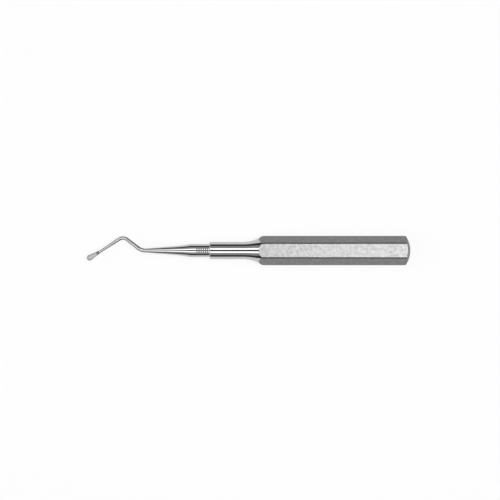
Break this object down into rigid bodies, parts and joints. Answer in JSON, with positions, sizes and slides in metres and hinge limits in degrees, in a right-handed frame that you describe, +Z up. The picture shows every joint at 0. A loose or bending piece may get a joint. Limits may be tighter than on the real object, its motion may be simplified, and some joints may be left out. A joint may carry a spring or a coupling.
{
  "type": "bone curette",
  "caption": "Single-ended bone curette: hexagonal steel handle with a domed end, a turned neck, and a tapered, double-bent shank that ends in a small spoon.",
  "frame": {"origin": "on the table under the middle of the instrument's bounding box, with the handle lying on one of its flats", "axes": "+X along the handle towards its domed end, so the spoon is at -X; +Y towards the side to which the shank bends out; +Z up, the way the bowl opens"},
  "size_m": [0.152, 0.0138, 0.012],
  "materials": {
    "handle_steel": "flats and dome satin, blasted; neck and cove polished",
    "working_end_steel": "polished, with a satin bowl"
  },
  "bodies": {
    "root": {"handle": "handle_steel", "working_end": "working_end_steel"}
  },
  "joints": []
}
